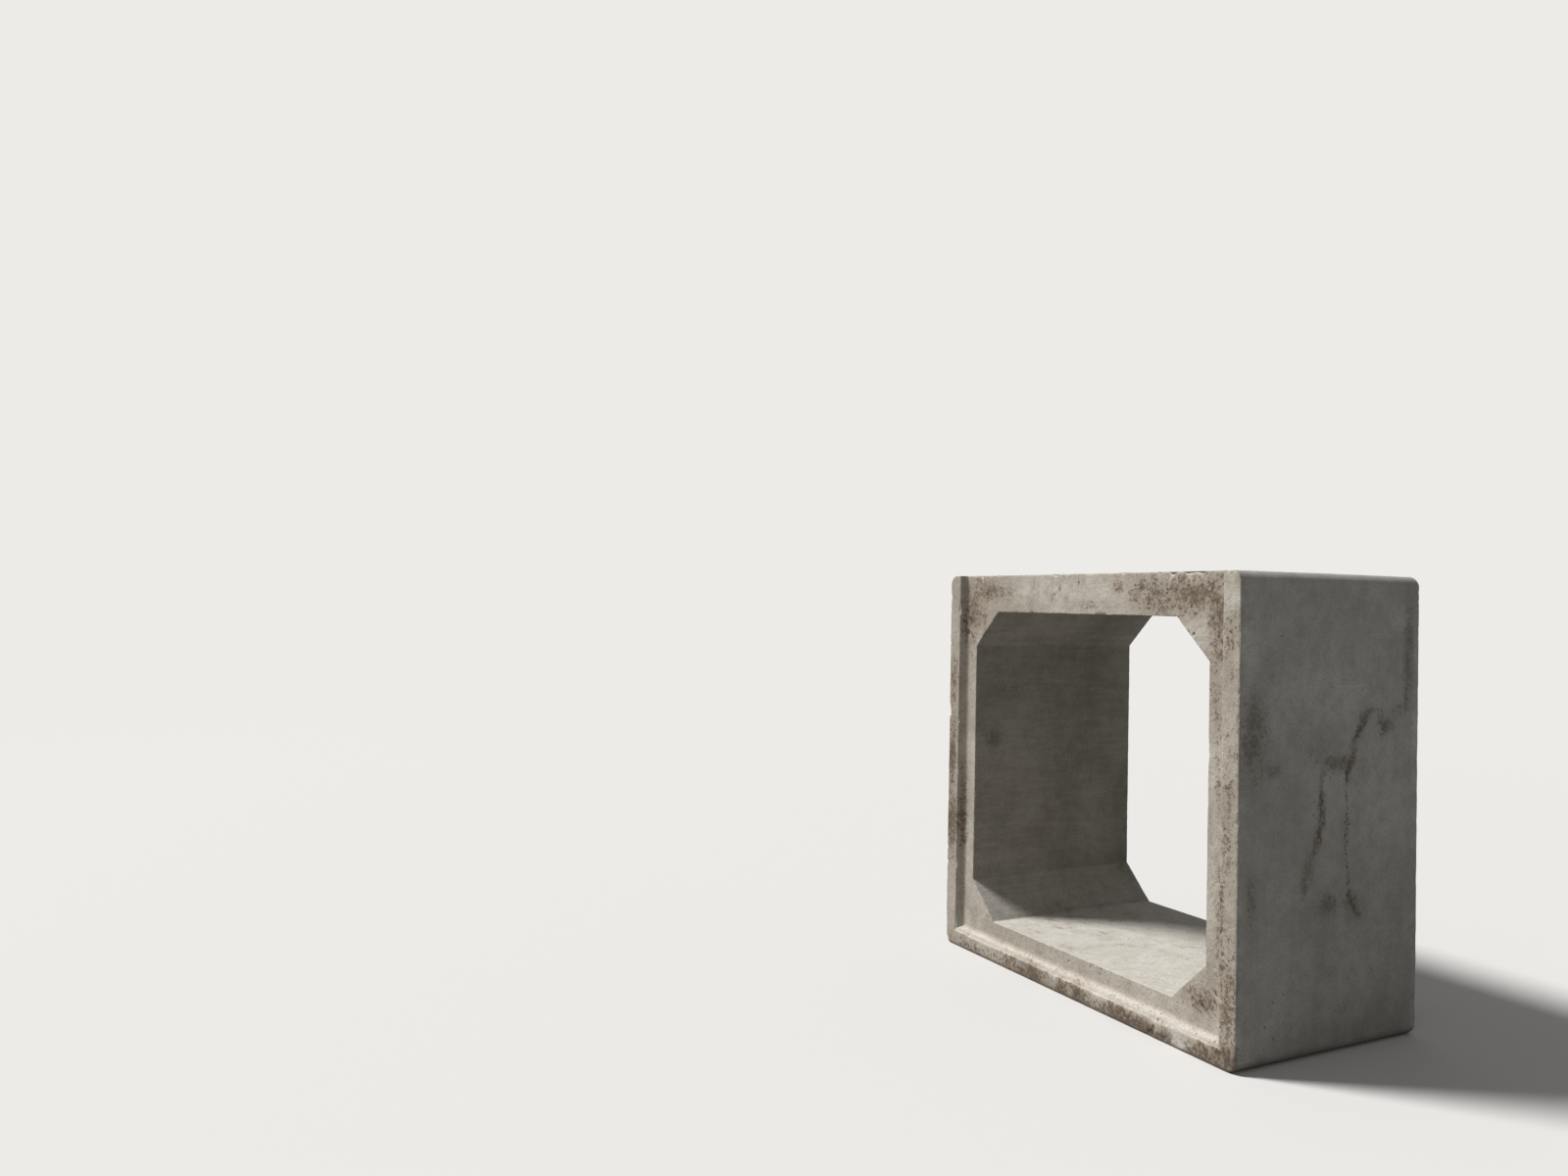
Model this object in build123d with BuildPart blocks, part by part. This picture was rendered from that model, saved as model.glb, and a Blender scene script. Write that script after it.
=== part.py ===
# Precast reinforced-concrete box culvert unit, cast in one piece.
# Frame: barrel along Y with the socket end at -Y, +Z up, origin at the bottom centre of the bounding box. Millimetres.
import os

from build123d import *

# Overall sizes of the casting
clear_span = 1500.0
clear_height = 1500.0
wall_thickness = 180.0
top_slab_thickness = 180.0
bottom_slab_thickness = 180.0
haunch_leg = 170.0
outer_edge_radius = 45.0
body_length = 1015.0
tongue_length = 25.0

# Socket end: a rim on three sides, open at the top
rim_land_width = 80.0
socket_depth = 35.0
socket_draft = 20.0

# Radial play between the tongue and the socket of the next unit
joint_clearance = 8.0

# Radii that the mould gives the joint's two inner corners
socket_corner_radius = 25.0
tongue_root_radius = 12.0

# Lifting holes through the top slab
lifting_hole_diameter = 52.0
lifting_hole_spacing = 540.0

# Length by which a cut runs past the face that it opens
cut_overrun = 50.0

# Sizes worked out from those above
outer_width = clear_span + 2 * wall_thickness
outer_height = clear_height + top_slab_thickness + bottom_slab_thickness
total_length = body_length + tongue_length
rim_plane_y = -total_length / 2
shoulder_plane_y = rim_plane_y + body_length
tongue_taper = socket_draft * tongue_length / socket_depth
socket_top = outer_height + cut_overrun
socket_mouth_width = outer_width - 2 * rim_land_width
socket_floor_width = socket_mouth_width - 2 * socket_draft
socket_mouth_height = socket_top - rim_land_width
socket_floor_height = socket_mouth_height - socket_draft
tongue_root_width = socket_mouth_width - 2 * joint_clearance
tongue_nose_width = tongue_root_width - 2 * tongue_taper
tongue_root_height = outer_height - rim_land_width - joint_clearance
tongue_nose_height = tongue_root_height - tongue_taper

# Planes across the barrel, with local X to the right and local Y up
rim_plane = Plane(origin=(0, rim_plane_y, 0), x_dir=(1, 0, 0), z_dir=(0, -1, 0))
socket_floor_plane = rim_plane.offset(-socket_depth)
shoulder_plane = rim_plane.offset(-body_length)
nose_plane = rim_plane.offset(-total_length)
top_plane = Plane.XY.offset(outer_height)

os.makedirs("parts", exist_ok=True)

# The whole unit is one casting: the barrel walls, slabs and haunches, the socket rim and the tongue
with BuildPart() as culvert_unit:
    # Outer block from the rim plane to the shoulder, its four long edges rounded
    with BuildSketch(rim_plane):
        with Locations((0, outer_height / 2)):
            RectangleRounded(outer_width, outer_height, outer_edge_radius)
    extrude(amount=-body_length)

    # Tongue on the far end, set in on both sides and below, flush with the top
    with BuildSketch(shoulder_plane):
        with Locations((0, outer_height)):
            Rectangle(tongue_root_width, tongue_root_height, align=(Align.CENTER, Align.MAX))
    with BuildSketch(nose_plane):
        with Locations((0, outer_height)):
            Rectangle(tongue_nose_width, tongue_nose_height, align=(Align.CENTER, Align.MAX))
    loft()

    # Radius where the tongue's sides and underside meet the shoulder, not along the shoulder's two top edges
    tongue_root = edges(Select.LAST).group_by(Axis.Y)[0].sort_by(Axis.Z)[:-2]
    fillet(tongue_root, radius=tongue_root_radius)

    # Socket recess with drafted sides and floor, open at the top
    with BuildSketch(rim_plane):
        with Locations((0, socket_top)):
            Rectangle(socket_mouth_width, socket_mouth_height, align=(Align.CENTER, Align.MAX))
    with BuildSketch(socket_floor_plane):
        with Locations((0, socket_top)):
            Rectangle(socket_floor_width, socket_floor_height, align=(Align.CENTER, Align.MAX))
    loft(mode=Mode.SUBTRACT)

    # Radius where the recess's sides and floor meet its back face, whose top edge stays open
    socket_back = faces(Select.LAST).filter_by(Axis.Y).sort_by(Axis.Y)[-1]
    fillet(socket_back.edges().sort_by(Axis.Z)[:-1], radius=socket_corner_radius)

    # Barrel through the whole length, with a haunch across each inner corner
    with BuildSketch(rim_plane.offset(cut_overrun)) as barrel:
        with Locations((0, bottom_slab_thickness)):
            Rectangle(clear_span, clear_height, align=(Align.CENTER, Align.MIN))
        chamfer(barrel.vertices(), length=haunch_leg)
    extrude(amount=-(total_length + 2 * cut_overrun), mode=Mode.SUBTRACT)

    # Two upright lifting holes through the top slab at mid-length
    with BuildSketch(top_plane):
        with Locations((-lifting_hole_spacing / 2, 0), (lifting_hole_spacing / 2, 0)):
            Circle(lifting_hole_diameter / 2)
    extrude(amount=-top_slab_thickness, mode=Mode.SUBTRACT)

culvert_unit.part.label = "culvert_unit"
export_step(culvert_unit.part, "parts/culvert_unit.step")
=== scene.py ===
import bpy
import numpy as np
from mathutils import Matrix, Vector


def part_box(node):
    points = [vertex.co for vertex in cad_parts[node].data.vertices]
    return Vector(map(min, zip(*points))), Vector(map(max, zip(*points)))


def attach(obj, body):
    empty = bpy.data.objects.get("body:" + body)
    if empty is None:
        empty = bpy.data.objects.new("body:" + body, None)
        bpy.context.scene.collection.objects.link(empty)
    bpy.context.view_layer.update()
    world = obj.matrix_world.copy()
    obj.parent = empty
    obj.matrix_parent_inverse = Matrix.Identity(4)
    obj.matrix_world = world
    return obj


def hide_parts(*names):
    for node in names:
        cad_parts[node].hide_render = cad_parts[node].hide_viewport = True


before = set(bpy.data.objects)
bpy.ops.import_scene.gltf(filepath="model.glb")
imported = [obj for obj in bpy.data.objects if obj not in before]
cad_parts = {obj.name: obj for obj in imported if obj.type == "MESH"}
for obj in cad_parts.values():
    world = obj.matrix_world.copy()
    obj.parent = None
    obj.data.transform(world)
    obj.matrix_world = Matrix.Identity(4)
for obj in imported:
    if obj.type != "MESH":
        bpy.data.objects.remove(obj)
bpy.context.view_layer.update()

# The culvert unit is one casting of reinforced concrete, poured and vibrated in a steel mould.
# Its square barrel has a haunch across each inner corner. The front end has a drafted rim on both sides
# and below, open at the top, and the back end has the tongue that enters such a rim.
low, high = (np.array(corner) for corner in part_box("culvert_unit"))
half_width, top = high[0], high[2]
rim_y, nose_y = low[1], high[1]

# sizes of the mould, in metres
wall = 0.180
haunch = 0.170
edge_radius = 0.045
rim_land = 0.080
socket_draft = 0.020
socket_depth = 0.035
joint_play = 0.008
tongue_length = 0.025
socket_corner = 0.025
tongue_corner = 0.012
hole_radius = 0.026
hole_x = 0.270

# step between the mesh's lines round the barrel, and how far the largest chip reaches into a face
grid_step = 0.0080
chip_reach = 0.010

# where the outlines lie: the rim's mouth, the seat at its bottom, the tongue's root and nose, the barrel
tongue_draft = socket_draft * tongue_length / socket_depth
seat_y, root_y = rim_y + socket_depth, nose_y - tongue_length
mouth_x, mouth_z = half_width - rim_land, rim_land
seat_x, seat_z = mouth_x - socket_draft, mouth_z + socket_draft
root_x, root_z = mouth_x - joint_play, mouth_z + joint_play
nose_x, nose_z = root_x - tongue_draft, root_z + tongue_draft
span = half_width - wall
foot = span - haunch
wall_low, wall_high = wall + haunch, top - wall - haunch

# the outer outline's straight stretches and rounded edges, and half its girth
flat, upright = half_width - edge_radius, top - 2 * edge_radius
quarter = edge_radius * np.pi / 2
girth = 2 * flat + 2 * quarter + top - 2 * edge_radius


def outer_outline(travel):
    """One half of the outer outline, by distance travelled from the middle of the bottom: straight along
    the bottom, a quarter circle, up the side, a quarter circle, and back along the top to its middle."""
    turn_low = np.clip((travel - flat) / edge_radius, 0, np.pi / 2)
    turn_high = np.clip((travel - flat - quarter - upright) / edge_radius, 0, np.pi / 2)
    x = np.clip(travel, 0, flat) - np.clip(travel - flat - 2 * quarter - upright, 0, flat)
    x += edge_radius * (np.sin(turn_low) - 1 + np.cos(turn_high))
    z = edge_radius * (1 - np.cos(turn_low) + np.sin(turn_high))
    z += np.clip(travel - flat - quarter, 0, upright)
    return x, z


# Distances round the half outline at which one of the outlines turns a corner, the shares of the upper
# haunch at which four of them fall on it, and the mesh's lines, evenly spaced between them.
stops = np.array([0, foot, flat + quarter / 2, flat + quarter + wall_low - edge_radius,
                  flat + quarter + wall_high - edge_radius, girth - mouth_x, girth - root_x,
                  girth - seat_x, girth - nose_x, girth - foot, girth])
climb = (stops[5:9] - stops[4]) / (stops[9] - stops[4])
lines = np.concatenate([np.linspace(a, b, max(1, round((b - a) / grid_step)), endpoint=False)
                        for a, b in zip(stops[:-1], stops[1:])] + [[girth]])


def ring(x, y, z):
    """A closed outline round the barrel: the half with x > 0 from bottom to top, then its mirror image."""
    half = np.stack(np.broadcast_arrays(x, y, z), axis=1)
    return np.concatenate([half, half[-2:0:-1] * [-1, 1, 1]])


def along(*values):
    """Values given at the stops, spread in straight lines over the grid's lines."""
    return np.interp(lines, stops, values)


# The rim and the shoulder run round the sides and the bottom only. Along the open top the front end's
# outer edge steps back to the seat, and the back end's steps out to the tongue's nose.
front_step = along(*[rim_y] * 6, rim_y + socket_depth * joint_play / socket_draft, *[seat_y] * 4)
back_step = along(*[root_y] * 7, nose_y - tongue_length * (seat_x - nose_x) / tongue_draft, *[nose_y] * 3)
outer_x, outer_z = outer_outline(lines)
top_stops = [seat_x, nose_x, foot, 0]

# The loops round the barrel at which its faces meet. Each one's side reaches the open top at a stop of its
# own, and the stops just before that one lie a few millimetres below the top.
outlines = {
    "outer_back": ring(outer_x, back_step, outer_z),
    "outer_front": ring(outer_x, front_step, outer_z),
    "mouth": ring(along(0, foot, *[mouth_x] * 4, root_x, *top_stops), front_step,
                  along(*[mouth_z] * 3, wall_low, wall_high, *[top] * 6)),
    "seat": ring(along(0, foot, *[seat_x] * 5, *top_stops), seat_y,
                 along(*[seat_z] * 3, wall_low, wall_high, top - 0.020, top - 0.012, *[top] * 4)),
    "bore_front": ring(along(0, foot, span - haunch / 2, span, span, *(span - climb * haunch), foot, 0),
                       seat_y,
                       along(wall, wall, wall + haunch / 2, wall_low, wall_high,
                             *(wall_high + climb * haunch), top - wall, top - wall)),
    "nose": ring(along(0, foot, *[nose_x] * 7, foot, 0), nose_y,
                 along(*[nose_z] * 3, wall_low, wall_high,
                       top - 0.022, top - 0.014, top - 0.002, *[top] * 3)),
    "root": ring(along(0, foot, *[root_x] * 5, *top_stops), back_step,
                 along(*[root_z] * 3, wall_low, wall_high, top - 0.008, *[top] * 5)),
}
outlines["bore_back"] = outlines["bore_front"] * [1, 0, 1] + [0, nose_y, 0]

lattice_size = 32
lattice = np.random.default_rng(11).random((lattice_size,) * 3)


def drift(points, size):
    """A smooth random field from -1 to 1: seeded values on a cubic lattice, one every size metres, blended
    between the eight corners of each cell with weights that ease in and out."""
    cell = points / size
    base = np.floor(cell).astype(int)
    ease = cell - base
    ease = ease * ease * (3 - 2 * ease)
    total = np.zeros(points.shape[:-1])
    for corner in np.ndindex(2, 2, 2):
        i, j, k = np.moveaxis((base + corner) % lattice_size, -1, 0)
        total += np.prod(np.where(corner, ease, 1 - ease), axis=-1) * lattice[i, j, k]
    return 2 * total - 1


def step(value, start, end):
    """0 below start, 1 above end, easing in between."""
    share = np.clip((value - start) / (end - start), 0, 1)
    return share * share * (3 - 2 * share)


def in_patches(points, patches):
    """How far points lie within the listed patches: the largest strength * exp(-d^2), where d is the
    distance from a patch's middle, divided by its reach along each axis."""
    inside = np.zeros(points.shape[:-1])
    for middle, reach, strength in patches:
        away = (points - middle) / reach
        inside = np.maximum(inside, strength * np.exp(-(away ** 2).sum(-1)))
    return inside


def arris(outline, worn_radius, chipped=1.0, often=0.0):
    """How far the wear of an outer edge reaches into its faces, in metres, along the outline: worn_radius
    times a drift about 1, up to 60% more near the ground and half as much under the unit, plus a chip of
    chip_reach * chipped wherever the sum of three drifts and often is high."""
    height = outline[:, 2]
    under = 1 - step(height, 0.0, 0.02)
    low_corner = step(-height, -0.30, -0.05) * (1 - under)
    worn = worn_radius * (1 + 0.30 * drift(outline, 0.110) + 0.25 * drift(outline, 0.031))
    chance = drift(outline, 0.040) + 0.50 * drift(outline, 0.023) + 0.45 * drift(outline, 0.290) + often
    bite = step(chance, 0.62, 1.15) * (1 - 0.7 * under)
    return worn * (1 + 0.6 * low_corner - 0.5 * under) + chip_reach * chipped * bite


# the seat is an outer edge along the open top only, and more chipped on the right
turned = np.concatenate([lines, lines[-2:0:-1]])
at_top = (turned > stops[7] - 1e-9).astype(float)
seat_often = 0.15 + 0.45 * step(outlines["seat"][:, 0], 0.25, 0.50)

# the rim's inner edge is crisp half way up, duller near the top, worn down at the ground and chipped low on
# the right jamb
up_jamb = outlines["mouth"][:, 2]
on_right_jamb = step(outlines["mouth"][:, 0], 0.80, 0.84)
mouth_worn = 0.0018 + 0.0017 * step(up_jamb, 1.20, 1.50) + 0.0067 * step(-up_jamb, -0.17, -0.09)
mouth_often = 0.35 * on_right_jamb * step(-up_jamb, -0.85, -0.65)

edges = {
    "outer_back": arris(outlines["outer_back"], 0.005, 0.6),
    "outer_front": arris(outlines["outer_front"], 0.0055, 1.1),
    "mouth": arris(outlines["mouth"], mouth_worn, 0.8, mouth_often),
    "seat": at_top * arris(outlines["seat"], 0.005, 1.4, seat_often),
    "bore_front": arris(outlines["bore_front"], 0.0035, 0.7),
    "bore_back": arris(outlines["bore_back"], 0.0040, 0.8),
    "nose": arris(outlines["nose"], 0.006, 1.2),
    "root": np.zeros(len(turned)),
}
fade_width = 0.020


def filled(before, corner, after):
    """A quarter of the sum of the two unit vectors that lead from a concave corner into its faces: the way
    the corner is filled. It shrinks to nothing where one of the faces gets narrower than fade_width."""
    ways = [outlines[name] - outlines[corner] for name in (before, after)]
    lengths = [np.linalg.norm(way, axis=1)[:, None] for way in ways]
    least = np.clip(np.minimum(*lengths) / fade_width, 0, 1)
    return least * sum(way / np.maximum(length, 1e-9) for way, length in zip(ways, lengths)) / 4


# the concave corners, which the mould rounds: the way each is filled and how far its radius reaches into
# either face, where spread is that reach for a radius of 1
spread = np.tan((np.pi / 2 - np.arctan2(socket_draft, socket_depth)) / 2)
hollows = {"seat": (filled("mouth", "seat", "bore_front"), socket_corner * spread),
           "root": (filled("nose", "root", "outer_back"), tongue_corner * spread)}

# The faces: each one's two outlines and its rows, given as distances in from the first outline, shares of
# the middle, and distances in from the last outline.
fine = np.array([0, 0.003, 0.007, 0.012, 0.019, 0.030])
sweep = np.array([0, 0.0035, 0.0080, 0.0145])
long = np.append(fine, [0.048, 0.075, 0.110])
level = [0.11, 0.22, 0.335, 0.447, 0.497, 0.547, 0.596, 0.70, 0.80, 0.90]
faces = [
    ("outer_back", "outer_front", long, level, long), ("outer_front", "mouth", fine, [1 / 3, 2 / 3], fine),
    ("mouth", "seat", fine[:4], [0.5], sweep), ("seat", "bore_front", sweep, [0.2, 0.4, 0.6, 0.8], fine),
    ("bore_front", "bore_back", long, 1 - np.array(level[::-1]), long),
    ("bore_back", "nose", fine[:5], [0.33, 0.66], fine[:5]), ("nose", "root", fine[:3], [0.5], sweep[:3]),
    ("root", "outer_back", sweep[:3], [0.33, 0.66], fine[:5]),
]


def face_rows(first, last, lead, middle, tail):
    """Straight rows from one outline to the next. Near a worn edge a point sinks along the face's normal by
    bite * s^1.6 and moves inwards by bite * s^1.1, where s falls from 1 at the edge to 0 at the reach, and
    bite is 0.30 of the reach plus 0.25 of what it has past 8 mm. Near a concave corner a point moves out by
    the corner's filling * reach * s^2. Gives the rows, how they shift, the face's normal, the wear from 0 to
    1.5, a weight of 0 where the face has no width, and the distance to the nearer edge."""
    start, end = outlines[first], outlines[last]
    run = end - start
    length = np.linalg.norm(run, axis=1)
    there = length > 1e-6
    way = run / np.where(there, length, 1)[:, None]
    centre = (start + end) / 2
    normal = np.cross(np.roll(centre, -1, 0) - np.roll(centre, 1, 0), way)
    normal /= np.maximum(np.linalg.norm(normal, axis=1), 1e-9)[:, None]
    shrink = np.minimum(1, 0.85 * length / max(lead[-1] + tail[-1], 1e-9))
    near, far = np.outer(lead, shrink), length - np.outer(tail[::-1], shrink)
    between = near[-1] + (far[0] - near[-1]) * np.array(middle)[:, None]
    reach_in = np.concatenate([near, between, far])[:-1]
    rows = start + way * reach_in[..., None]
    shift = np.zeros_like(rows)
    wear = np.zeros_like(reach_in)
    for name, gap, inward in ((first, reach_in, way), (last, length - reach_in, -way)):
        reach = np.minimum(edges[name], 0.45 * length + 1e-9)
        share = np.clip(1 - gap / np.maximum(reach, 1e-9), 0, 1)
        bite = 0.30 * reach + 0.25 * np.maximum(reach - 0.008, 0)
        shift += inward * (bite * share ** 1.1)[..., None] - normal * (bite * share ** 1.6)[..., None]
        wear = np.maximum(wear, share * np.clip(reach / 0.010, 0, 1.5))
        if name in hollows:
            way_out, radius_reach = hollows[name]
            shift += way_out * (radius_reach * np.clip(1 - gap / radius_reach, 0, 1) ** 2)[..., None]
    weight = np.broadcast_to(there.astype(float), reach_in.shape)
    return rows, shift, normal, wear, weight, np.minimum(reach_in, length - reach_in)


# Patches, each with its middle, its reach along x, y and z, and how strong it is. Honeycomb is where the
# mortar did not fill the gaps between the stones.
honeycomb = [
    # inner edge and foot of the right jamb, top of the left one
    ((0.815, seat_y, 0.60), (0.014, 0.03, 0.30), 0.45), ((0.800, seat_y, 0.24), (0.020, 0.03, 0.14), 0.7),
    ((0.74, seat_y, 0.19), (0.085, 0.03, 0.045), 0.8), ((-0.80, seat_y, 1.70), (0.04, 0.03, 0.10), 0.5),
    # the rim's foot and right side
    ((0.50, rim_y, 0.015), (0.16, 0.03, 0.020), 0.8), ((0.859, rim_y, 0.50), (0.012, 0.03, 0.28), 0.8),
    # tongue end
    ((-0.35, nose_y, 0.30), (0.20, 0.03, 0.04), 0.7), ((0.80, nose_y, 1.20), (0.03, 0.03, 0.20), 0.6),
]
soiled = [
    # along the top of the front end, and down its two corners
    ((0.62, seat_y, 1.765), (0.26, 0.05, 0.090), 0.8), ((0.79, seat_y, 1.70), (0.07, 0.05, 0.17), 0.9),
    ((-0.62, seat_y, 1.78), (0.22, 0.05, 0.050), 0.7), ((-0.79, seat_y, 1.66), (0.06, 0.05, 0.15), 0.7),
    ((-0.18, seat_y, 1.760), (0.035, 0.05, 0.030), 0.8), ((-0.28, seat_y, 1.772), (0.03, 0.05, 0.025), 0.7),
    ((0.07, seat_y, 1.725), (0.10, 0.05, 0.020), 0.5), ((0.245, seat_y, 1.800), (0.035, 0.05, 0.030), 0.8),
    ((0.35, seat_y, 1.765), (0.04, 0.05, 0.030), 0.8), ((-0.70, seat_y, 1.62), (0.05, 0.05, 0.10), 0.5),
    # right jamb
    ((0.89, rim_y, 1.60), (0.04, 0.03, 0.14), 0.6), ((0.88, rim_y, 0.95), (0.03, 0.03, 0.35), 0.40),
    ((0.88, rim_y, 0.25), (0.06, 0.03, 0.25), 0.7), ((0.79, seat_y, 1.30), (0.03, 0.05, 0.20), 0.4),
    ((0.74, seat_y, 0.205), (0.08, 0.05, 0.05), 0.9), ((0.815, seat_y, 0.50), (0.02, 0.03, 0.25), 0.35),
    ((0.858, rim_y, 0.55), (0.014, 0.02, 0.35), 0.5), ((0.80, seat_y, 1.05), (0.02, 0.05, 0.25), 0.4),
    # foot of the rim
    ((-0.25, rim_y, 0.040), (0.13, 0.04, 0.045), 0.9), ((-0.035, rim_y, 0.030), (0.04, 0.04, 0.04), 0.95),
    ((0.065, rim_y, 0.040), (0.04, 0.04, 0.05), 1.0), ((0.44, rim_y, 0.020), (0.16, 0.04, 0.045), 0.95),
    ((0.88, rim_y, 0.05), (0.07, 0.04, 0.07), 1.0), ((0.77, rim_y, 0.025), (0.06, 0.04, 0.04), 0.6),
    ((0.40, rim_y, 0.035), (0.42, 0.04, 0.050), 0.50), ((-0.55, rim_y, 0.035), (0.36, 0.04, 0.045), 0.35),
    # left jamb
    ((-0.90, rim_y, 1.35), (0.04, 0.04, 0.14), 0.7), ((-0.90, rim_y, 0.95), (0.04, 0.04, 0.20), 1.0),
    ((-0.90, rim_y, 0.60), (0.05, 0.04, 0.16), 1.1), ((-0.83, seat_y, 0.60), (0.03, 0.04, 0.25), 0.7),
    # right side
    ((half_width, -0.45, 1.24), (0.04, 0.07, 0.17), 0.9), ((half_width, 0.43, 1.52), (0.04, 0.03, 0.22), 0.8),
    ((half_width, -0.36, 1.11), (0.04, 0.05, 0.03), 0.7),
    ((half_width, -0.445, 0.62), (0.04, 0.03, 0.11), 0.7),
    ((half_width, 0.02, 1.125), (0.04, 0.08, 0.030), 1.1),
    ((half_width, -0.035, 0.575), (0.04, 0.05, 0.045), 1.0),
    ((half_width, 0.105, 0.565), (0.04, 0.030, 0.06), 0.7),
    ((half_width, 0.245, 0.58), (0.04, 0.025, 0.04), 0.5),
    ((half_width, -0.13, 0.74), (0.04, 0.03, 0.10), 0.6),
    ((half_width, 0.295, 1.26), (0.04, 0.02, 0.04), 0.7),
    ((half_width, 0.37, 1.32), (0.04, 0.035, 0.03), 0.6),
    ((half_width, -0.10, 1.17), (0.04, 0.10, 0.07), 0.4),
    # left wall of the barrel, and the left side
    ((-span, -0.37, 1.04), (0.04, 0.05, 0.05), 0.7), ((-span, -0.30, 1.28), (0.04, 0.10, 0.05), 0.4),
    ((-span, 0.15, 0.90), (0.04, 0.20, 0.10), 0.3), ((-half_width, 0.20, 0.20), (0.04, 0.22, 0.12), 0.5),
    ((-half_width, -0.42, 1.62), (0.04, 0.06, 0.20), 0.6),
    ((-half_width, 0.05, 1.40), (0.04, 0.05, 0.25), 0.35),
    # top
    ((-0.45, -0.30, top), (0.20, 0.12, 0.04), 0.5), ((0.62, 0.25, top), (0.16, 0.16, 0.04), 0.6),
    ((0.10, 0.42, top), (0.30, 0.06, 0.04), 0.5),
    # tongue end
    ((-0.55, nose_y, 1.76), (0.20, 0.05, 0.06), 0.8), ((0.60, nose_y, 1.74), (0.14, 0.05, 0.07), 0.5),
    ((0.78, nose_y, 0.60), (0.05, 0.05, 0.30), 0.6), ((-0.88, root_y, 0.50), (0.05, 0.04, 0.35), 0.7),
    ((0.20, nose_y, 0.12), (0.30, 0.05, 0.04), 0.6),
]
scoured = [
    # front end
    ((-0.20, seat_y, 1.785), (0.30, 0.04, 0.055), 0.9), ((0.71, seat_y, 1.60), (0.06, 0.04, 0.05), 0.7),
    ((0.65, rim_y, 0.036), (0.050, 0.03, 0.050), 1.3), ((0.20, rim_y, 0.060), (0.06, 0.03, 0.03), 0.8),
    ((0.535, rim_y, 0.035), (0.020, 0.03, 0.020), 1.0), ((-0.10, rim_y, 0.050), (0.05, 0.03, 0.03), 0.7),
    ((-0.60, rim_y, 0.045), (0.16, 0.03, 0.04), 0.6), ((0.90, rim_y, 1.76), (0.04, 0.03, 0.06), 0.7),
    ((0.79, seat_y, 0.95), (0.02, 0.04, 0.16), 0.5),
    # right side, and the left wall of the barrel
    ((half_width, -0.47, 1.60), (0.04, 0.035, 0.20), 0.7),
    ((half_width, 0.39, 1.69), (0.04, 0.05, 0.05), 0.8),
    ((half_width, -0.10, 1.38), (0.04, 0.20, 0.12), 0.4),
    ((half_width, 0.25, 0.95), (0.04, 0.12, 0.22), 0.4),
    ((-span, 0.25, 0.62), (0.04, 0.06, 0.18), 0.4),
]

# the numbers of the faces that run the barrel's whole length, and of the drafted ones of rim and tongue
outside, inside, drafted = 0, 4, (2, 6)

# how deep the unevenness is: the grain, a short wave on the ends, a long one on the other faces, and voids;
# lowered moves a drift down, so that nearly all of it lies below the mould's face
grain_depth, end_wave, long_wave, void_depth = 0.0004, 0.0005, 0.0010, 0.0055
lowered = 0.8

parts = []
for number, (first, last, lead, middle, tail) in enumerate(faces):
    rows, shift, normal, wear, weight, gap = face_rows(first, last, lead, middle, tail)
    on_end = number not in (outside, inside)
    grounded = step(rows[..., 2], 0.0, 0.06) if number == outside else 1.0
    voids = np.zeros(gap.shape)
    rough = grain_depth * (drift(rows, 0.011) - lowered)
    if on_end:
        rough += end_wave * (drift(rows, 0.045) - lowered)
        voids = in_patches(rows, honeycomb) * step(drift(rows, 0.017) + 0.5 * drift(rows, 0.009), 0.10, 0.55)
        voids += 0.7 * step(drift(rows, 0.016) + 0.5 * drift(rows, 0.2), 0.75, 1.05)
        voids *= step(gap, 0.0, 0.004)
        rough -= void_depth * voids
        rough *= 0.4 if number in drafted else 1.0
    else:
        rough += long_wave * (drift(rows, 0.42) - lowered)
    shift += (np.minimum(rough, 0) * grounded * (1 + 2 * wear))[..., None] * normal
    parts.append((rows, shift, wear, weight, np.full(weight.shape, float(on_end)),
                  np.full(weight.shape, float(number == inside)), gap, voids, in_patches(rows, soiled),
                  in_patches(rows, scoured)))
rows, shift, wear, weight, on_end, in_bore, gap, voids, soil, pale = (
    np.concatenate(group) for group in zip(*parts))

# grid points that share a place, to the nearest micrometre, become one point of the mesh
weld_places = 1e6
spots = np.round(rows.reshape(-1, 3) * weld_places).astype(np.int64)
spots, ids = np.unique(spots, axis=0, return_inverse=True)
ids = ids.reshape(weight.shape)
mass = np.bincount(ids.ravel(), weight.ravel())


def welded(values):
    """The mean of a value over the grid points that share a place, leaving out faces of no width there."""
    return np.bincount(ids.ravel(), (values * weight).ravel()) / np.maximum(mass, 1e-9)


points = spots / weld_places + np.stack([welded(shift[..., k]) for k in range(3)], axis=1)
points = np.clip(points, low, high)
marks = {"worn": welded(wear), "end_face": welded(on_end), "bore": welded(in_bore), "edge_gap": welded(gap),
         "voids": welded(voids), "soil": welded(soil), "pale": welded(pale)}

across, ahead, both = np.roll(ids, -1, 1), np.roll(ids, -1, 0), np.roll(np.roll(ids, -1, 0), -1, 1)
cells = np.stack([ids, across, both, ahead], axis=-1)
starts = np.cumsum([0] + [len(part[0]) for part in parts])

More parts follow.
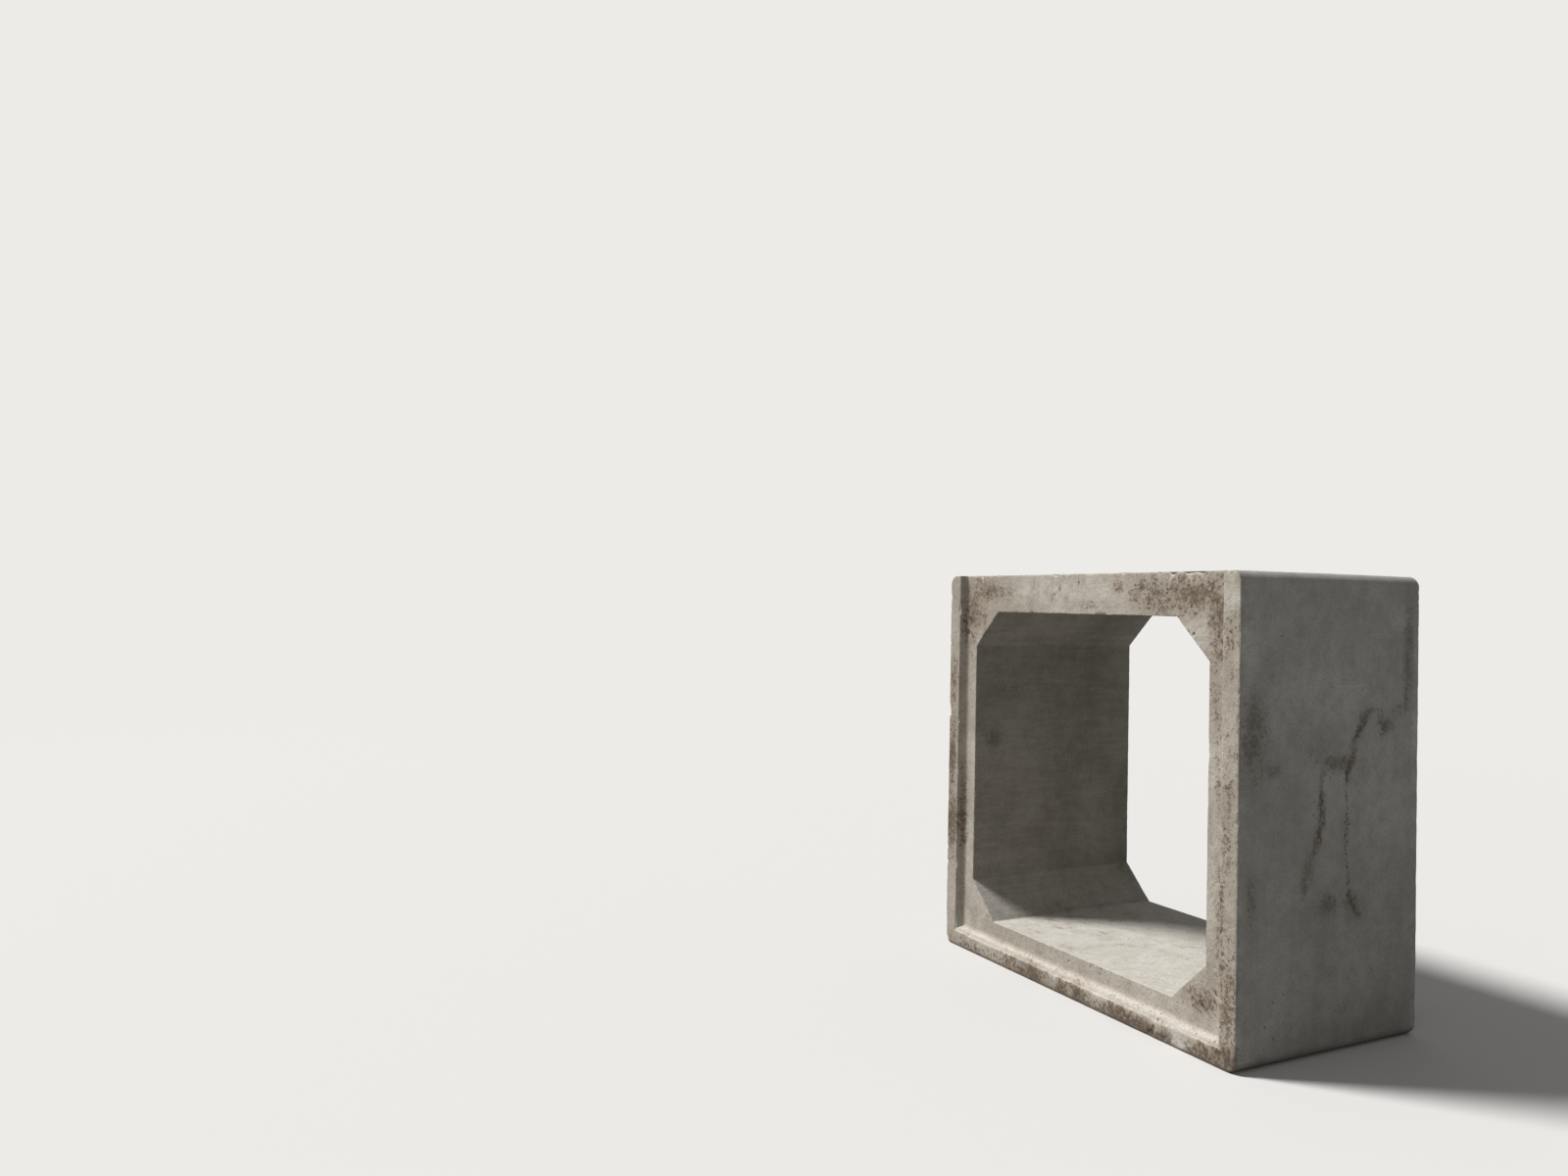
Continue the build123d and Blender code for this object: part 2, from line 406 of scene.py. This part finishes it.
# Round each lifting hole a block of cells is left out of the top and the soffit, and rings join the edges
# of the two blocks through the slab.
block_x, block_y = 0.062, 0.075
kept = np.ones(weight.shape, bool)
sleeves = []
ring_x, ring_z = ring(outer_x, 0, outer_z)[:, [0, 2]].T
for side in (-1, 1):
    columns = np.flatnonzero((np.abs(ring_z - top) < 1e-9) & (np.abs(ring_x - side * hole_x) < block_x))
    loops = []
    for number in (outside, inside):
        block = np.arange(starts[number], starts[number + 1])
        chosen = block[np.abs(rows[block, columns[0], 1]) < block_y]
        kept[chosen[0]:chosen[-1], columns[0]:columns[-1]] = False
        if number == inside:
            chosen = chosen[::-1]
        loops.append(np.concatenate([ids[chosen[0], columns[:-1]], ids[chosen[:-1], columns[-1]],
                                     ids[chosen[-1], columns[:0:-1]], ids[chosen[:0:-1], columns[0]]]))
    sleeves.append((side, loops))

# cells with two corners in one place are triangles, and those with more have no area
quads = cells[kept]
same = quads == np.roll(quads, -1, axis=1)
whole = quads[same.sum(1) == 0]
three = quads[same.sum(1) == 1]
three = three[~same[same.sum(1) == 1]].reshape(-1, 3)

# a hole's worn lip, ring by ring: share of the way from the block's edge, distance past the hole's radius,
# depth below the face; then its wear, and the rings of the straight bore between the two lips
lip = [(0.45, 0.012, 0), (0.8, 0.012, 0), (1, 0.009, 0.0008), (1, 0.004, 0.0022), (1, 0.001, 0.006)]
lip_wear = [0, 0, 0.5, 0.5, 0.5]
bore_rings = 7
uneven_lip = 0.0016
for side, (above, below) in sleeves:
    count = len(above)
    centre = np.array([side * hole_x, 0, 0])
    first = points[above] - centre
    turn = np.unwrap(np.arctan2(first[:, 1], first[:, 0]))
    even = turn[0] + np.arange(count) * np.sign(turn[-1] - turn[0]) * 2 * np.pi / count
    round_way = np.stack([np.cos(even), np.sin(even), np.zeros(count)], axis=1)
    # the lip's radius drifts as it goes round, as the drift does along a circle of 40 mm
    wobble = uneven_lip * drift(centre + round_way * 0.04 + [0, 0, 1], 0.02)[:, None]
    face_up, face_down = points[above][:, 2].mean(), points[below][:, 2].mean()
    rims = []
    for share, past, depth in lip:
        circle = centre + round_way * (hole_radius + past + wobble) + [0, 0, face_up - depth]
        rims.append(points[above] * (1 - share) + circle * share)
    for share in np.linspace(0.1, 0.9, bore_rings):
        rims.append(centre + round_way * hole_radius + [0, 0, face_up * (1 - share) + face_down * share])
    for share, past, depth in lip[::-1]:
        circle = centre + round_way * (hole_radius + past + wobble) + [0, 0, face_down + depth]
        rims.append(points[below] * (1 - share) + circle * share)
    fresh = len(points) + np.arange(len(rims) * count).reshape(len(rims), count)
    points = np.concatenate([points] + rims)
    worn_rings = np.repeat(lip_wear + [0] * bore_rings + lip_wear[::-1], count)
    in_sleeve = np.repeat([0.0] * (len(lip) - 1) + [1.0] * (1 + bore_rings + len(lip)), count)
    extra = {"worn": worn_rings, "bore": in_sleeve, "edge_gap": 0.02}
    marks = {name: np.append(values, np.broadcast_to(extra.get(name, 0), fresh.size))
             for name, values in marks.items()}
    belts = np.concatenate([above[None], fresh, below[None]])
    on = np.roll(belts, -1, axis=1)
    sleeve = np.stack([belts[:-1], on[:-1], on[1:], belts[1:]], axis=-1)
    whole = np.concatenate([whole, sleeve.reshape(-1, 4)])

used, renumber = np.unique(np.concatenate([whole.ravel(), three.ravel()]), return_inverse=True)
points = points[used]
whole, three = renumber[:whole.size].reshape(-1, 4), renumber[whole.size:].reshape(-1, 3)
casting = bpy.data.meshes.new("culvert_casting")
casting.from_pydata(points.tolist(), [], whole.tolist() + three.tolist())
for name, values in marks.items():
    mark = casting.attributes.new(name, "FLOAT", "POINT")
    mark.data.foreach_set("value", values[used].astype(np.float32))
unit = bpy.data.objects.new("culvert_casting", casting)
bpy.context.scene.collection.objects.link(unit)
sharp_from = np.radians(50)
casting.shade_smooth()
casting.set_sharp_from_angle(angle=sharp_from)
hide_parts("culvert_unit")
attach(unit, "root")

# The concrete's finish is what steel moulds and years outdoors leave: a cement skin with grains of sand and
# air holes, pale dust where it faces up, brown soil in its rough places, and runs of rusty water.
# Painted shade darkens the outside and the barrel in part, the holes and the foot; a painted highlight runs
# along the end edges.
concrete = bpy.data.materials.new("cast_concrete")
concrete.use_nodes = True
shader = concrete.node_tree.nodes["Principled BSDF"]


class Wire:
    """One output of a shader node, used in sums: an operator adds the Math node that works it out, or for
    vectors and colours the Vector Math node, and node() adds a node of any other kind."""

    def __init__(self, socket):
        self.socket = socket

    def node(self, kind, settings, sockets, output=0):
        """Adds a node of this kind, sets its settings first, then its sockets by name or number, and gives
        the named or numbered output."""
        made = self.socket.id_data.nodes.new("ShaderNode" + kind)
        for name, value in settings.items():
            setattr(made, name, value)
        for name, value in sockets.items():
            if isinstance(value, Wire):
                made.id_data.links.new(value.socket, made.inputs[name])
            else:
                made.inputs[name].default_value = value
        return Wire(made.outputs[output])

    def beside(self, output):
        """Another output of the same node."""
        return Wire(self.socket.node.outputs[output])

    def maths(self, operation, *others, **settings):
        kind = "VectorMath" if self.socket.type in ("VECTOR", "RGBA") else "Math"
        return self.node(kind, {"operation": operation} | settings, dict(enumerate([self, *others])))

    def __add__(self, other):
        return self.maths("ADD", other)

    def __sub__(self, other):
        return self.maths("SUBTRACT", other)

    def __mul__(self, other):
        return self.maths("MULTIPLY", other)

    def __rsub__(self, other):
        return self.node("Math", {"operation": "SUBTRACT"}, {0: other, 1: self})

    __radd__ = __add__
    __rmul__ = __mul__

    def at_most(self, other):
        return self.maths("MINIMUM", other)

    def at_least(self, other):
        return self.maths("MAXIMUM", other)

    def length(self):
        return self.node("VectorMath", {"operation": "LENGTH"}, {0: self}, 1)

    def part(self, axis):
        return self.node("SeparateXYZ", {}, {0: self}, axis)

    def eased(self, start, end):
        """0 on the start's side, 1 past the end, easing in between."""
        return self.node("MapRange", {"interpolation_type": "SMOOTHSTEP"},
                         {"Value": self, "From Min": start, "From Max": end})

    def noise(self, size, detail=3.0, rough=0.6, output=0):
        """Soft random values about 0.5, with features of the given size in metres."""
        inputs = {"Vector": self, "Scale": 1 / size, "Detail": detail, "Roughness": rough}
        return self.node("TexNoise", {}, inputs, output)

    def between(self, first, second):
        """A colour between two others, by this share."""
        return self.node("Mix", {"data_type": "RGBA"}, {0: self, 6: first, 7: second}, 2)


surface = Wire(shader.outputs[0])
place = surface.node("TexCoord", {}, {}, "Object")
x, y, z = (place.part(axis) for axis in range(3))
upward = surface.node("TexCoord", {}, {}, "Normal").part(2)
worn, end_face, bore, edge_gap, voids, soil, pale = (
    surface.node("Attribute", {"attribute_name": name}, {}, "Fac") for name in marks)
shell = 1 - end_face.at_least(bore)

# random fields from the largest to the finest, two of them drawn out: down the walls and along the barrel
clouds = place.noise(0.38, 4.0, 0.55)
mottle = place.noise(0.075, 5.0, 0.65)
grain = place.noise(0.009, 3.0, 0.70)
speckle = (place * (1.0, 1.0, 0.95)).noise(0.015, 4.0, 0.70)
cluster = (place * (1.0, 1.0, 0.8)).noise(0.060, 5.0, 0.70)
rain = (place * (1.0, 1.0, 0.08)).noise(0.045, 5.0, 0.65)
drawn = (place * (1.0, 0.10, 1.0)).noise(0.030, 6.0, 0.70)

# cement skin: warm and granular on the ends, greyer outside, warmer in the barrel; outside and in the barrel
# it is darker than on the ends, partly as painted shade
end_colours = (0.318, 0.279, 0.226, 1), (0.482, 0.442, 0.384, 1)
shell_colours_and_shade = (0.226, 0.218, 0.197, 1), (0.336, 0.328, 0.303, 1)
bore_colours_and_shade = (0.180, 0.166, 0.138, 1), (0.312, 0.292, 0.252, 1)
end_tone = clouds * 0.30 + mottle * 0.25 + cluster * 0.20 + speckle * 0.25
end_skin = end_tone.eased(0.40, 0.60).between(*end_colours)
shell_tone = clouds * 0.30 + mottle * 0.25 + cluster * 0.15 + speckle * 0.20 + rain * 0.10
shell_skin_and_shade = shell_tone.eased(0.38, 0.62).between(*shell_colours_and_shade)
bore_tone = clouds * 0.45 + mottle * 0.25 + drawn * 0.30
bore_skin_and_shade = bore_tone.eased(0.34, 0.66).between(*bore_colours_and_shade)
skin = end_face.between(bore.between(shell_skin_and_shade, bore_skin_and_shade), end_skin)

# pale dust with darker crumbs in it lies on what faces up: the barrel's floor, the haunches' feet and the
# ledge of the rim
powder_colours = (0.420, 0.391, 0.344, 1), (0.530, 0.503, 0.458, 1)
crumb_colour = (0.165, 0.142, 0.114, 1)
dust = upward.eased(0.55, 0.90) * (1 - shell) * (mottle * 0.6 + clouds * 0.4).eased(0.28, 0.46)
powder = (cluster * 0.6 + mottle * 0.4).eased(0.36, 0.62).between(*powder_colours)
skin = (dust * 0.85).between(skin, powder)
crumbs = (grain * 0.40 + speckle * 0.40 + cluster * 0.20).eased(0.545, 0.620) * dust
skin = (crumbs * 0.65).between(skin, crumb_colour)

# a faint paler strip on the outside behind the end edges, and round the tops of the lifting holes: a painted
# highlight along these edges
highlight_and_seam_colour = (0.480, 0.470, 0.440, 1)
painted_edge_highlight = edge_gap.eased(0.045, 0.025) * shell * (mottle * 0.5 + clouds * 0.5).eased(0.46, 0.60)
skin = (painted_edge_highlight * 0.35).between(skin, highlight_and_seam_colour)

# scoured patches, where the skin is paler: greyer outside, warmer on the ends
scoured_shell, scoured_end = (0.440, 0.430, 0.400, 1), (0.580, 0.545, 0.495, 1)
scour = (pale * (mottle * 0.5 + cluster * 0.5).eased(0.34, 0.56)).at_most(1.0)
skin = (scour * 0.55).between(skin, end_face.between(scoured_shell, scoured_end))

# soil, brown on the ends and greyer outside: a soft tint round each patch, blotches in it, and dark specks
# that crowd together
thin_soil, thick_soil = (0.325, 0.248, 0.173, 1), (0.172, 0.121, 0.079, 1)
grey_tint, grey_blotch = (0.150, 0.139, 0.118, 1), (0.112, 0.102, 0.086, 1)
brown_blotch, speck_colour = (0.136, 0.093, 0.059, 1), (0.076, 0.055, 0.038, 1)
patchy = place.noise(0.14, 4.0, 0.6)
near_ground = z.eased(0.105, 0.0) * end_face
hold = soil - pale * 0.5 + (patchy - 0.5) * 0.9 * end_face + near_ground * 0.46
warm = hold.eased(0.20, 1.0).between(thin_soil, thick_soil)
tint = hold.eased(-0.05, 0.90) * (cluster * 0.5 + mottle * 0.5).eased(0.32, 0.58)
skin = (tint * (0.82 - end_face * 0.20)).between(skin, end_face.between(grey_tint, warm))
blotch = (speckle * 0.55 + cluster * 0.45 + hold * 0.12).eased(0.50, 0.655) * hold.eased(-0.15, 0.45)
skin = (blotch * (end_face * 0.25 + 0.55)).between(skin, end_face.between(grey_blotch, brown_blotch))
specks = (grain * 0.50 + speckle * 0.50 + hold * 0.080).eased(0.558, 0.634)
specks = specks * (hold.eased(-0.30, 0.40) * 0.6 + 0.4)
skin = (specks * (end_face * 0.25 + 0.60)).between(skin, speck_colour)

# how far a run of water strays from its straight stretches, in metres
wander_reach = 0.110


def trail(walk, width):
    """A stain along a chain of straight stretches on the right side, given as y and z: at each point, moved
    by a random wander, the least distance to a stretch, a + (b - a) * t with t held from 0 to 1, fades out
    over the width."""
    wander = (place.noise(0.090, 5.0, 0.7, "Color") - (0.5, 0.5, 0.5)) * (0.0, wander_reach, wander_reach)
    spot = place * (0.0, 1.0, 1.0) + wander
    nearest = None
    for (y0, z0), (y1, z1) in zip(walk[:-1], walk[1:]):
        stretch = (0.0, y1 - y0, z1 - z0)
        past = spot - (0.0, y0, z0)
        along_it = past.node("VectorMath", {"operation": "DOT_PRODUCT"}, {0: past, 1: stretch}, 1)
        share = along_it.maths("MULTIPLY", 1 / (stretch[1] ** 2 + stretch[2] ** 2), use_clamp=True)
        reached = past.node("VectorMath", {"operation": "SCALE"}, {0: stretch, "Scale": share})
        gap = (past - reached).length()
        nearest = nearest.at_most(gap) if nearest else gap
    return nearest.eased(width, 0.0) * x.eased(half_width - 0.05, half_width - 0.02)


# rusty water has run down the right side from its back edge, darkest in the middle of each run, and a row of
# pits follows a seam of the mould, painted dark as shade in the pits
rust_colour, rust_core = (0.095, 0.069, 0.048, 1), (0.046, 0.027, 0.020, 1)
pit_shade_colour = (0.030, 0.026, 0.022, 1)
runs = trail([(0.207, 1.324), (0.142, 1.268), (0.12, 1.205), (0.076, 1.062)], 0.036)
runs = runs.at_least(trail([(-0.073, 1.09), (-0.074, 0.95), (-0.087, 0.828)], 0.032))
runs = runs.at_least(trail([(-0.10, 0.82), (-0.138, 0.750), (-0.168, 0.638)], 0.040) * 0.7)
runs = runs.at_least(trail([(0.435, 1.72), (0.420, 1.50), (0.405, 1.32)], 0.026) * 0.55)
runs = runs.at_least(trail([(0.083, 0.612), (0.110, 0.572), (0.150, 0.525)], 0.030) * 0.9)
flecks = (speckle * 0.6 + cluster * 0.4).eased(0.42, 0.58) * 0.8 + 0.2
skin = (runs * flecks * 0.95).between(skin, rust_colour)
skin = (runs.eased(0.40, 1.0) * flecks * 0.55).between(skin, rust_core)
pits = trail([(0.062, 1.05), (0.072, 0.82), (0.080, 0.63)], 0.015)
pits = pits.at_least(trail([(0.250, 1.310), (0.275, 1.235)], 0.030) * 0.85)
pits = pits.eased(0.10, 0.55) * (speckle * 0.45 + grain * 0.55).eased(0.49, 0.55)
skin = (pits * 0.90).between(skin, pit_shade_colour)

# a faint pale line, where two plates of the mould met
seam_height, seam_width = 1.42, 0.0035
from_seam = z - seam_height
on_right = x.eased(half_width - 0.002, half_width - 0.001)
seam = (from_seam * from_seam).eased(seam_width ** 2, 0.0) * on_right
seam = seam * y.eased(-0.22, -0.12) * y.eased(0.45, 0.36) * mottle.eased(0.42, 0.56)
skin = (seam * 0.40).between(skin, highlight_and_seam_colour)

# a damp, slightly yellow band at the foot of the walls, and painted shade at the foot of every face and under
# the unit, where it meets the ground
damp_colour, ground_shade_colour = (0.150, 0.135, 0.095, 1), (0.070, 0.056, 0.042, 1)
damp = (z + (mottle - 0.5) * 0.05).eased(0.050, 0.015) * shell
skin = (damp * 0.45).between(skin, damp_colour)
painted_ground_shade = (z + (speckle - 0.5) * 0.03).eased(0.018, 0.004)
skin = (painted_ground_shade * 0.75).between(skin, ground_shade_colour)

# air holes left by bubbles against the mould, of all sizes up to some 10 mm across, more of them in places
bubble_spacing = 0.036
bubble = place.node("TexVoronoi", {}, {"Vector": place, "Scale": 1 / bubble_spacing})
chance = bubble.beside("Color").part(0)
hole_size = (chance + (clouds - 0.5) * 2.0 - 0.62).at_least(0.0).at_most(0.5) * 0.30
air_holes = (bubble - hole_size).eased(0.0, -0.03) * (1 - dust)

# worn arrises and chips show paler, broken concrete where no soil lies on them, and voids and air holes are
# painted dark, as painted shade in their hollows
broken_colour = (0.560, 0.525, 0.470, 1)
void_shade_colour, air_hole_shade_colour = (0.075, 0.058, 0.042, 1), (0.070, 0.062, 0.052, 1)
broken = (worn * 1.3 + (grain - 0.5) * 1.2).eased(0.20, 0.80)
paler = broken * (1 - (soil + near_ground).at_most(1.0) * 0.8)
skin = (paler * 0.55).between(skin, broken_colour)
hollow = (voids + (grain - 0.5) * 0.8).eased(0.20, 0.70)
skin = (hollow * 0.80).between(skin, void_shade_colour)
skin = (air_holes * 0.75).between(skin, air_hole_shade_colour)

# fine grains of sand, darker and paler than the cement, which tint what lies over them
sand_tints = (0.84, 0.83, 0.81, 1), (1.14, 1.145, 1.15, 1)
sand = grain.eased(0.30, 0.70).between(*sand_tints)
skin = skin.node("Mix", {"data_type": "RGBA", "blend_type": "MULTIPLY"},
                 {0: end_face * 0.20 + 0.80, 6: skin, 7: sand}, 2)

shader.inputs["Roughness"].default_value = 0.9
concrete.node_tree.links.new(skin.socket, shader.inputs["Base Color"])

# relief in metres: coarser on the ends, with hollows and air holes sunk in it
grain_height, hollow_depth, air_hole_depth = 0.0007, 0.004, 0.003
coarse = end_face * end_face
speck_height = coarse * 0.0018 + 0.0004
lump_height = coarse * 0.004 + 0.001
height = ((grain - 0.5) * grain_height + (speckle - 0.5) * speck_height + (cluster - 0.5) * lump_height
          - hollow * hollow_depth - air_holes * air_hole_depth)
bump = surface.node("Bump", {}, {"Height": height, "Distance": 1.0, "Strength": 0.8})
concrete.node_tree.links.new(bump.socket, shader.inputs["Normal"])
casting.materials.append(concrete)

# The studio floor is a pale sheet. It runs on past the picture and fades there into the pale backdrop.
floor_reach = 60
fade_start, fade_end = 7.0, 16.0
backdrop = (0.846, 0.831, 0.808, 1)
floor_seen, floor_bounce = (0.560, 0.550, 0.535, 1), (0.28, 0.275, 0.268, 1)
floor_mesh = bpy.data.meshes.new("studio_floor")
floor_mesh.from_pydata([(-floor_reach, -floor_reach, 0), (floor_reach, -floor_reach, 0),
                        (floor_reach, floor_reach, 0), (-floor_reach, floor_reach, 0)], [], [(0, 1, 2, 3)])
studio_floor = bpy.data.objects.new("studio_floor", floor_mesh)
bpy.context.scene.collection.objects.link(studio_floor)

paint = bpy.data.materials.new("floor_paint")
paint.use_nodes = True
floor_shader = paint.node_tree.nodes["Principled BSDF"]
floor_shader.inputs["Roughness"].default_value = 0.9
floor_shader.inputs["Specular IOR Level"].default_value = 0.2
ground = Wire(floor_shader.outputs[0])


def seen(wire):
    """1 on rays from the camera, off a gloss or through glass, and 0 on those that carry light."""
    rays = wire.node("LightPath", {}, {}, "Is Camera Ray")
    return rays.at_least(rays.beside("Is Glossy Ray")).at_least(rays.beside("Is Transmission Ray"))


coat = seen(ground).between(floor_bounce, floor_seen)
paint.node_tree.links.new(coat.socket, floor_shader.inputs["Base Color"])
far = ground.node("TexCoord", {}, {}, "Object").length().eased(fade_start, fade_end) * seen(ground)
glow = ground.node("Emission", {}, {"Color": backdrop})
faded = ground.node("MixShader", {}, {0: far, 1: ground, 2: glow})
paint.node_tree.links.new(faded.socket, paint.node_tree.nodes["Material Output"].inputs["Surface"])
floor_mesh.materials.append(paint)

# The backdrop is one pale colour where it is seen, the one into which the floor fades, and it lights the
# unit softly from all round.
soft_light = (0.25, 0.25, 0.25, 1)
world = bpy.data.worlds.new("studio")
bpy.context.scene.world = world
world.use_nodes = True
background = world.node_tree.nodes["Background"]
sky = Wire(background.outputs[0])
world.node_tree.links.new(seen(sky).between(soft_light, backdrop).socket, background.inputs["Color"])

# The key light is a large soft source, high on the left and a little in front, so that it rakes over the
# front end and leaves the right side in soft shade.
key_way = Vector((0.60, 0.68, -1.30))
key = bpy.data.lights.new("key", "SUN")
key.energy = 4.7
key.angle = np.radians(12)
key_lamp = bpy.data.objects.new("key", key)
key_lamp.rotation_euler = key_way.to_track_quat("-Z", "Y").to_euler()
bpy.context.scene.collection.objects.link(key_lamp)

# The camera stands where the photograph was taken, at eye height in front of the unit's right corner, and
# is turned, tilted and rolled as it was held.
camera_place = (4.0047, -3.9261, 1.7051)
camera_turn, camera_tilt, camera_roll = 1.11008, 0.01325, 0.01764
picture_focus, picture_width = 1181.4, 1600
film_width = 36
lens = bpy.data.cameras.new("camera")
lens.sensor_width = film_width
lens.lens = film_width * picture_focus / picture_width
camera = bpy.data.objects.new("camera", lens)
camera.matrix_world = (Matrix.Translation(camera_place) @ Matrix.Rotation(camera_turn, 4, "Z")
                       @ Matrix.Rotation(np.pi / 2 + camera_tilt, 4, "X")
                       @ Matrix.Rotation(camera_roll, 4, "Z"))
bpy.context.scene.collection.objects.link(camera)
bpy.context.scene.camera = camera
bpy.context.scene.view_settings.view_transform = "Standard"
